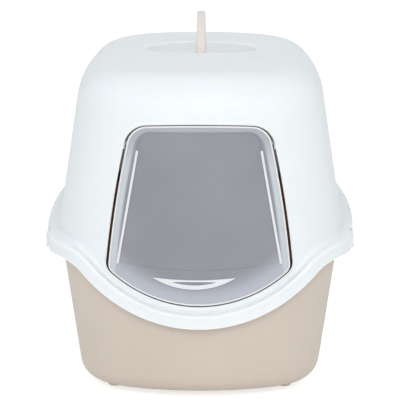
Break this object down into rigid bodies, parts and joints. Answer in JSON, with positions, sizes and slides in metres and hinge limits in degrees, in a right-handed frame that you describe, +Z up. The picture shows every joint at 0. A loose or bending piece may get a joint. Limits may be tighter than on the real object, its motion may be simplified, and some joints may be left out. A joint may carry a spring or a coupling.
{
  "type": "cat litter box with hood",
  "caption": "Covered litter tray for a cat: a tapered pan under a domed lift-off hood with a see-through swing door, folding carrying handle and side clips.",
  "frame": {"origin": "on the floor, under the middle of the box's outline", "axes": "+Z up, the door faces -Y, +X to the right of someone facing the door"},
  "size_m": [0.4, 0.5599, 0.448],
  "materials": {
    "tray_plastic": "satin moulded polypropylene, pale taupe",
    "hood_plastic": "satin moulded polypropylene, cool white",
    "smoky_clear_plastic": "glossy see-through plastic with a smoky grey tint",
    "handle_plastic": "satin moulded polypropylene, pale pinkish taupe",
    "clip_plastic": "satin moulded polypropylene, cool white"
  },
  "bodies": {
    "tray": {"tray": "tray_plastic"},
    "hood": {"hood": "hood_plastic"},
    "flap": {"flap": "smoky_clear_plastic"},
    "handle": {"carry_handle": "handle_plastic"},
    "left_clip": {"left_side_clip": "clip_plastic"},
    "right_clip": {"right_side_clip": "clip_plastic"}
  },
  "joints": [
    {"name": "hood_lift", "type": "slide", "parent": "tray", "child": "hood", "axis": [0, 0, 1], "range_m": [0, 0.15]},
    {"name": "flap_swing", "type": "hinge", "parent": "hood", "child": "flap", "pos_m": [0, -0.213, 0.317], "axis": [1, 0, 0], "range_deg": [-65, 85]},
    {"name": "handle_fold", "type": "hinge", "parent": "hood", "child": "handle", "pos_m": [0, 0.042, 0.391], "axis": [0, 1, 0], "range_deg": [-90, 90]},
    {"name": "left_clip_open", "type": "hinge", "parent": "hood", "child": "left_clip", "pos_m": [-0.1941, -0.128, 0.1845], "axis": [0, 1, 0], "range_deg": [0, 60]},
    {"name": "right_clip_open", "type": "hinge", "parent": "hood", "child": "right_clip", "pos_m": [0.1941, -0.128, 0.1845], "axis": [0, -1, 0], "range_deg": [0, 60]}
  ]
}
